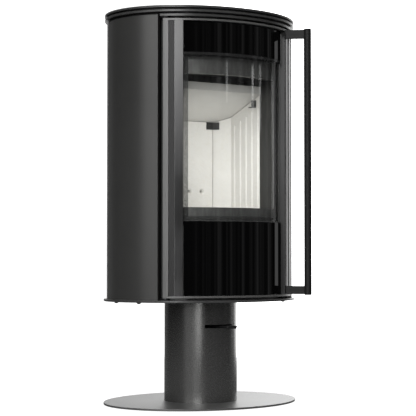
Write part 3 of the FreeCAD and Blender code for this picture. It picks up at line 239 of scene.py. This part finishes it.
def vermiculite(name, colour):
    """Pressed vermiculite board: mica flakes, some golden or grey, in a chalky body."""
    s = Shader(name)
    flakes = s.cells(420.0, "Color", (1, 1, 1.6))
    pick = s.add("SeparateColor", {"Color": flakes}).outputs[0]
    cloud = s.noise(14.0, 3.0, 0.6)
    body = s.blend(s.span(cloud, 0.3, 0.7), shade(colour, 0.965), shade(colour, 1.02))
    grey = s.blend(s.span(pick, 0.86, 0.95, 0.0, 0.30), body, (0.50, 0.49, 0.46))
    paint = s.blend(s.span(pick, 0.10, 0.04, 0.0, 0.35), grey, (0.66, 0.58, 0.42))
    crumbs = s.noise(900.0, 3.0, 0.7)
    height = s.maths("ADD", s.maths("MULTIPLY", pick, 0.5), crumbs)
    roughness = s.span(pick, 0.0, 1.0, 0.95, 0.75)
    normal = s.bump(height, 0.00025, 0.35)
    return s.done(s.surface(Base_Color=paint, Roughness=roughness, Normal=normal,
                            Specular_IOR_Level=0.2))


def cast_iron(name, colour):
    """Sand-cast iron: a rough skin with rusty brown in its low spots."""
    s = Shader(name)
    sand = s.noise(420.0, 4.0, 0.7)
    rust = s.noise(40.0, 4.0, 0.6)
    iron = s.blend(s.span(sand, 0.3, 0.7), shade(colour, 0.7), shade(colour, 1.3))
    paint = s.blend(s.span(rust, 0.55, 0.75, 0.0, 0.6), iron, (0.11, 0.045, 0.02))
    roughness = s.span(rust, 0.4, 0.8, 0.5, 0.85)
    return s.done(s.surface(Base_Color=paint, Roughness=roughness,
                            Normal=s.bump(sand, 0.0005, 0.6), Metallic=0.4))


def black_glass(name, colour):
    """Glass enamelled black on its back: almost a mirror, with slow waves from bending."""
    s = Shader(name)
    waves = s.noise(14.0, 1.0, 0.4, (1, 1, 0.12))
    haze = s.noise(5.0, 2.0)
    paint = s.blend(s.span(haze, 0.3, 0.7), shade(colour, 0.8), shade(colour, 1.2))
    roughness = s.span(haze, 0.3, 0.7, 0.015, 0.035)
    normal = s.bump(waves, 0.0006, 0.25)
    return s.done(s.surface(Base_Color=paint, Roughness=roughness, Normal=normal, IOR=1.5))


def window_glass(name):
    """Clear heat-proof glass ceramic: sight and light pass, and the face mirrors a little."""
    s = Shader(name)
    waves = s.noise(16.0, 1.0, 0.4, (1, 1, 0.12))
    normal = s.bump(waves, 0.0007, 0.12)
    clear = s.add("BsdfTransparent", {"Color": (0.95, 0.955, 0.95, 1)}).outputs[0]
    haze = s.noise(7.0, 3.0)
    roughness = s.span(haze, 0.3, 0.7, 0.01, 0.03)
    mirror = s.add("BsdfGlossy", {"Color": (1, 1, 1, 1), "Roughness": roughness,
                                  "Normal": normal}).outputs[0]
    slant = s.add("LayerWeight", {"Blend": 0.5, "Normal": normal}).outputs["Facing"]
    grazing = s.maths("POWER", slant, 5.0)
    slanted = s.maths("MULTIPLY", grazing, 1 - GLASS_MIRRORS)
    mix = s.add("MixShader", {0: s.maths("ADD", slanted, GLASS_MIRRORS)})
    s.put(mix.inputs[1], clear)
    s.put(mix.inputs[2], mirror)
    return s.done(mix.outputs[0])


def border_print(name, colour):
    """Grey ceramic print on the pane: small dots that let part of the light through."""
    s = Shader(name)
    dots = s.cells(700.0)
    grain = s.noise(160.0, 2.0)
    amount = s.maths("ADD", s.span(dots, 0.2, 0.5, PRINT_COVER + 0.12, PRINT_COVER - 0.12),
                     s.span(grain, 0.3, 0.7, -0.03, 0.03))
    clear = s.add("BsdfTransparent", {"Color": (1, 1, 1, 1)}).outputs[0]
    paint = s.blend(s.span(grain, 0.3, 0.7), shade(colour, 0.92), shade(colour, 1.08))
    ink = s.surface(Base_Color=paint, Roughness=0.55, Specular_IOR_Level=0.3)
    mix = s.add("MixShader", {0: amount})
    s.put(mix.inputs[1], clear)
    s.put(mix.inputs[2], ink)
    return s.done(mix.outputs[0])


def rope_seal(name, colour):
    """Knitted glass-fibre rope: fine threads with a few loose light fibres."""
    s = Shader(name)
    threads = s.noise(1500.0, 3.0, 0.7)
    fluff = s.noise(500.0, 4.0, 0.7)
    paint = s.blend(s.span(threads, 0.35, 0.65), shade(colour, 0.6), shade(colour, 1.5))
    paint = s.blend(s.span(fluff, 0.6, 0.8, 0.0, 0.5), paint, shade(colour, 2.6))
    normal = s.bump(threads, 0.0003, 0.8)
    roughness = s.span(fluff, 0.3, 0.7, 0.85, 1.0)
    return s.done(s.surface(Base_Color=paint, Roughness=roughness, Normal=normal,
                            Sheen_Weight=0.3))


def floor_white(name):
    """Matt paper floor that shows pure white but throws little light up at the stove."""
    s = Shader(name)
    fibre = s.noise(400.0, 2.0)
    paint = s.blend(s.span(fibre, 0.3, 0.7), (0.18, 0.18, 0.18), (0.22, 0.22, 0.22))
    seen = s.add("LightPath").outputs["Is Camera Ray"]
    glow = s.maths("MULTIPLY", seen, FLOOR_GLOW)
    return s.done(s.surface(Base_Color=paint, Roughness=0.9, Specular_IOR_Level=0.1,
                            Emission_Color=(1, 1, 1, 1), Emission_Strength=glow,
                            Normal=s.bump(fibre, 0.0001, 0.2)))


MATERIALS = {
    "floor_plate_paint": powder_coat("floor_plate_paint", (0.13, 0.13, 0.128), 0.42,
                                     metallic=0.4),
    "pedestal_paint": powder_coat("pedestal_paint", (0.155, 0.155, 0.152), 0.25, metallic=0.8),
    "body_plate_paint": powder_coat("body_plate_paint", (0.05, 0.05, 0.05), 0.30),
    "cladding_paint": powder_coat("cladding_paint", (0.075, 0.075, 0.073), 0.31, metallic=0.5),
    "recess_black": recess_black("recess_black", (0.006, 0.006, 0.006)),
    "firebox_steel": firebox_steel("firebox_steel", (0.17, 0.17, 0.167)),
    "cheek_steel": firebox_steel("cheek_steel", (0.06, 0.06, 0.059)),
    "zinc_sheet": zinc_sheet("zinc_sheet", (0.45, 0.46, 0.47)),
    "valve_steel": bare_metal("valve_steel", (0.36, 0.36, 0.37), 0.32),
    "lever_paint": powder_coat("lever_paint", (0.02, 0.02, 0.02), 0.4),
    "bolt_steel": bare_metal("bolt_steel", (0.14, 0.14, 0.145), 0.38, (1, 1, 1), 300.0),
    "bush_brass": bare_metal("bush_brass", (0.58, 0.42, 0.19), 0.28),
    "vermiculite": vermiculite("vermiculite", (0.80, 0.785, 0.76)),
    # the baffle's board is the vermiculite darkened all over: painted shade for the shadow
    # under the baffle
    "painted_shade_board": vermiculite("painted_shade_board", (0.63, 0.62, 0.60)),
    "grate_iron": cast_iron("grate_iron", (0.05, 0.05, 0.05)),
    "door_paint": gloss_paint("door_paint", (0.10, 0.10, 0.098), 0.30, specular=0.65),
    "trim_gloss": gloss_paint("trim_gloss", (0.02, 0.02, 0.02), 0.14),
    "trim_satin": gloss_paint("trim_satin", (0.02, 0.02, 0.02), 0.34, specular=0.2),
    "black_glass": black_glass("black_glass", (0.0008, 0.0008, 0.0009)),
    "window_glass": window_glass("window_glass"),
    "border_print": border_print("border_print", (0.035, 0.035, 0.035)),
    "rope_seal": rope_seal("rope_seal", (0.06, 0.06, 0.058)),
    "handle_paint": powder_coat("handle_paint", (0.012, 0.012, 0.012), 0.5, specular=0.2),
}

FINISHES = {                 # nodes that look a little different from the rest of their slot
    # the baffle board takes the darkened vermiculite, which is painted shade
    "door_trim_strips": "trim_satin", "baffle_board": "painted_shade_board",
    "firebox_cheeks": "cheek_steel", "baffle_brackets": "cheek_steel",
}

for row in frame["record"]["subparts"]:
    mesh = frame["nodes"][row["node"]].data
    mesh.materials.clear()
    mesh.materials.append(MATERIALS[FINISHES.get(row["node"], row["material_slot"])])


# ---- the door's rope seal -----------------------------------------------------

ROPE_STEP = 0.0022           # length of one ring of faces along the rope
ROPE_SIDES = 20
ROPE_STRANDS = 5
ROPE_TWIST = 0.026           # length in which a strand goes once round
ROPE_RELIEF = 0.0007         # how far a strand stands out
ROPE_CORNER = 0.016          # bend of the rope's middle line at the corners
CORNER_PARTS = 8             # straight pieces in each of those bends
DOOR_MIDDLE = 0.02           # this near its middle line, the door counts as flat


def seal_sheet(corners):
    """Where the seal lies front to back, by its distance from the middle of the door."""
    columns = {}
    for corner in corners:
        columns.setdefault(round(corner.x, 4), []).append(corner.y)
    rows = sorted(columns.items())

    def middle(x):
        for (x0, depths0), (x1, depths1) in zip(rows, rows[1:]):
            if x0 <= x <= x1:
                share = (x - x0) / (x1 - x0)
                first = (min(depths0) + max(depths0)) / 2
                second = (min(depths1) + max(depths1)) / 2
                return first + (second - first) * share
        return (min(rows[0][1]) + max(rows[0][1])) / 2
    return middle


def rounded_loop(half_width, low, high, corner, step):
    """Points along an upright rectangle with round corners, anticlockwise, as (x, z)."""
    side = half_width - corner
    centres = ((side, low + corner, -90), (side, high - corner, 0),
               (-side, high - corner, 90), (-side, low + corner, 180))
    outline = []
    for x, z, start in centres:
        for part in range(CORNER_PARTS + 1):
            turn = math.radians(start + 90 * part / CORNER_PARTS)
            outline.append(Vector((x + corner * math.cos(turn), z + corner * math.sin(turn))))
    points = []
    for first, second in zip(outline, outline[1:] + outline[:1]):
        count = max(1, round((second - first).length / step))
        points += [first.lerp(second, index / count) for index in range(count)]
    return points


def braid(along, angle, jitter):
    """How far the strands of the rope stand out at a place on it, from 0 to 1."""
    turn = 2 * math.pi * along / ROPE_TWIST
    one_way = abs(math.sin((ROPE_STRANDS * angle + turn) / 2 + jitter))
    other_way = abs(math.sin((ROPE_STRANDS * angle - turn) / 2))
    return max(one_way, other_way)


def rope_ring():
    """The rope as a ring round the door. Its cross-section doesn't turn with the curve of the
    door, so towards the sides it stands out of the gasket's solid, into the parts behind it."""
    corners = [vertex.co for vertex in frame["nodes"]["door_gasket"].data.vertices]
    low, high = (Vector(corner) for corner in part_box("door_gasket"))
    levels = sorted({round(corner.z, 4) for corner in corners})
    width = levels[1] - levels[0]
    middle = seal_sheet(corners)
    depths = [corner.y for corner in corners if abs(corner.x) < DOOR_MIDDLE]
    thick = max(depths) - min(depths)
    across = width / 2 - ROPE_RELIEF
    deep = thick / 2 - ROPE_RELIEF
    loop = rounded_loop(high.x - width / 2, low.z + width / 2, high.z - width / 2,
                        ROPE_CORNER, ROPE_STEP)
    path = [Vector((point.x, middle(point.x), point.y)) for point in loop]
    mesh = bmesh.new()
    rings = []
    along = 0.0
    for index, centre in enumerate(path):
        ahead = path[(index + 1) % len(path)]
        tangent = (ahead - path[index - 1]).normalized()
        outward = Vector((0, 1, 0)) - tangent * tangent.y
        outward.normalize()
        sideways = tangent.cross(outward)
        jitter = random.uniform(-0.12, 0.12)
        ring = []
        for side in range(ROPE_SIDES):
            angle = 2 * math.pi * side / ROPE_SIDES
            lift = ROPE_RELIEF * braid(along, angle, jitter)
            place = centre + sideways * (math.cos(angle) * (across + lift))
            place += outward * (math.sin(angle) * (deep + lift))
            ring.append(mesh.verts.new(place))
        rings.append(ring)
        along += (ahead - centre).length
    for ring, following in zip(rings, rings[1:] + rings[:1]):
        for side in range(ROPE_SIDES):
            after = (side + 1) % ROPE_SIDES
            mesh.faces.new((ring[side], ring[after], following[after], following[side]))
    bmesh.ops.recalc_face_normals(mesh, faces=mesh.faces[:])
    data = bpy.data.meshes.new("door_rope")
    mesh.to_mesh(data)
    mesh.free()
    data.shade_smooth()
    data.materials.append(MATERIALS["rope_seal"])
    rope = bpy.data.objects.new("door_rope", data)
    bpy.context.scene.collection.objects.link(rope)
    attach(rope, "door")
    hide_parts("door_gasket")


rope_ring()

# ---- the studio ---------------------------------------------------------------

CAMERA_AZIMUTH = -32.93      # degrees, 0 looks at the door squarely
CAMERA_RISE = -1.87          # the lens is lower than the middle of the stove
CAMERA_DISTANCE = 3.7247     # metres
AIM_OFFSET = Vector((0.0167, -0.0110, -0.0050))     # from the stove's axis at half its height
LENS = 119.94                # millimetres


def direction(azimuth, rise):
    """A unit vector from the stove towards a place in the studio."""
    turn, tilt = math.radians(azimuth), math.radians(rise)
    flat = math.cos(tilt)
    return Vector((flat * math.sin(turn), -flat * math.cos(turn), math.sin(tilt)))


def camera():
    low, high = cad_box
    middle = (low + high) / 2
    aim = Vector((AIM_OFFSET.x, AIM_OFFSET.y, middle.z + AIM_OFFSET.z))
    data = bpy.data.cameras.new("camera")
    data.lens = LENS
    data.sensor_width = 36.0
    data.clip_end = 100.0
    viewer = bpy.data.objects.new("camera", data)
    towards = direction(CAMERA_AZIMUTH, CAMERA_RISE)
    viewer.location = aim + towards * CAMERA_DISTANCE
    viewer.rotation_euler = (-towards).to_track_quat("-Z", "Y").to_euler()
    bpy.context.scene.collection.objects.link(viewer)
    bpy.context.scene.camera = viewer


def band(s, value, low, high, soft_low, soft_high):
    """1 between low and high, with soft edges outside them."""
    rise = s.span(value, low - soft_low, low)
    fall = s.span(value, high, high + soft_high, 1.0, 0.0)
    return s.maths("MULTIPLY", rise, fall)


# Each light of the studio: its azimuth from and to with the fade at each side, its rise
# from and to with the fade below and above, all in degrees, and its brightness. They were
# placed by comparing renders with the one photograph.
LIGHTS = (
    ((-50.0, -31.0, 5.0, 2.0), (10.0, 55.0, 7.0, 15.0), 7.8),     # tall softbox
    ((-56.0, -42.0, 5.0, 4.0), (0.0, 8.0, 3.0, 4.0), 1.1),        # the stand below it
    ((-43.0, -32.0, 3.0, 3.0), (-14.0, -5.0, 4.0, 3.0), 4.4),     # low card beside it
    ((-80.0, -70.0, 7.0, 16.0), (5.0, 50.0, 8.0, 20.0), 1.9),     # its spill on the left
    ((104.0, 145.0, 1.5, 5.0), (-8.0, 40.0, 10.0, 30.0), 1.9),    # white wall, back right
    ((84.0, 95.0, 3.0, 2.0), (-8.0, 40.0, 10.0, 30.0), 0.5),      # its front edge
    ((130.0, 160.0, 12.0, 14.0), (-8.0, 40.0, 10.0, 30.0), 1.2),  # its far end
    ((-180.0, -168.0, 0.1, 16.0), (-8.0, 40.0, 10.0, 30.0), 0.15),    # faint wall, back left
    ((18.4, 19.4, 0.5, 0.5), (6.6, 7.7, 0.6, 0.4), 1.6),          # gaps between dark screens
    ((33.0, 33.4, 0.4, 0.4), (5.6, 8.0, 0.6, 0.4), 0.4),
    ((48.7, 50.2, 0.6, 0.5), (6.2, 7.5, 0.8, 0.4), 2.4),
    ((59.2, 60.3, 0.6, 0.5), (5.4, 7.5, 0.6, 0.4), 2.2),
    ((79.6, 81.2, 0.8, 0.8), (4.6, 7.2, 1.2, 0.4), 1.2),
    ((79.4, 80.8, 0.8, 0.8), (0.6, 2.6, 0.8, 1.2), 1.0),
)
AMBIENT = 0.03
SCREEN_GLOW = 0.22           # brightest fold of the dark screens in front of the door
SCREEN_FOLDS = 0.16          # folds of the screens to a degree
SCREEN_CONTRAST = (0.42, 0.72)                  # folds show between these noise values
SCREEN_REACH = (5.0, 84.0, 30.0, 3.0)           # azimuth from, to and fades, as for a light
BACKDROP = 1.2               # what the camera sees behind the stove

LAMP_SIZE = (0.22, 0.18)
LAMP_WATTS = 0.40
LAMP_SPREAD = 120.0          # degrees
LAMP_REACH = 0.055           # in front of the hearth bricks
LAMP_HEIGHT = 0.15           # above the foot of the back brick

FLOOR_RADIUS = 1.6
FLOOR_DROP = 0.0005          # keeps the floor clear of the floor plate's underside


def studio():
    s = Shader("studio", world=True)
    axes = s.add("SeparateXYZ", {"Vector": s.place}).outputs
    towards_front = s.maths("MULTIPLY", axes["Y"], -1.0)
    azimuth = s.maths("MULTIPLY", s.maths("ARCTAN2", axes["X"], towards_front), math.degrees(1))
    rise = s.maths("MULTIPLY", s.maths("ARCSINE", axes["Z"]), math.degrees(1))
    across = s.add("CombineXYZ", {"X": s.maths("MULTIPLY", azimuth, SCREEN_FOLDS)}).outputs[0]
    folds = s.add("TexNoise", {"Vector": across, "Scale": 1.0, "Detail": 2.0}).outputs["Fac"]
    screens = s.maths("MULTIPLY", s.span(folds, *SCREEN_CONTRAST, 0.0, SCREEN_GLOW),
                      band(s, azimuth, *SCREEN_REACH))
    total = s.maths("ADD", screens, AMBIENT)
    for sideways, upward, brightness in LIGHTS:
        shape = s.maths("MULTIPLY", band(s, azimuth, *sideways), band(s, rise, *upward))
        total = s.maths("ADD", s.maths("MULTIPLY", shape, brightness), total)
    seen = s.add("LightPath").outputs["Is Camera Ray"]
    strength = s.maths("MAXIMUM", total, s.maths("MULTIPLY", seen, BACKDROP))
    light = s.add("Background", {"Color": (1, 1, 1, 1), "Strength": strength})
    bpy.context.scene.world = s.done(light.outputs[0])


def firebox_lamp():
    """A soft lamp just inside the window that lights the lining, itself unseen."""
    low, high = (Vector(corner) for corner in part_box("back_brick"))
    front = Vector(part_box("hearth_bricks")[0]).y
    data = bpy.data.lights.new("firebox_lamp", "AREA")
    data.shape = "RECTANGLE"
    data.size, data.size_y = LAMP_SIZE
    data.energy = LAMP_WATTS
    data.spread = math.radians(LAMP_SPREAD)
    lamp = bpy.data.objects.new("firebox_lamp", data)
    lamp.location = ((low.x + high.x) / 2, front - LAMP_REACH, low.z + LAMP_HEIGHT)
    lamp.rotation_euler = Vector((0, 1, 0)).to_track_quat("-Z", "Z").to_euler()
    lamp.visible_camera = False
    lamp.visible_glossy = False
    bpy.context.scene.collection.objects.link(lamp)


def floor():
    bpy.ops.mesh.primitive_circle_add(vertices=96, radius=FLOOR_RADIUS, fill_type="NGON",
                                      location=(0, 0, -FLOOR_DROP))
    plane = bpy.context.object
    plane.name = "floor"
    plane.data.materials.append(floor_white("floor_white"))


camera()
studio()
firebox_lamp()
floor()
bpy.context.scene.view_settings.view_transform = "Standard"
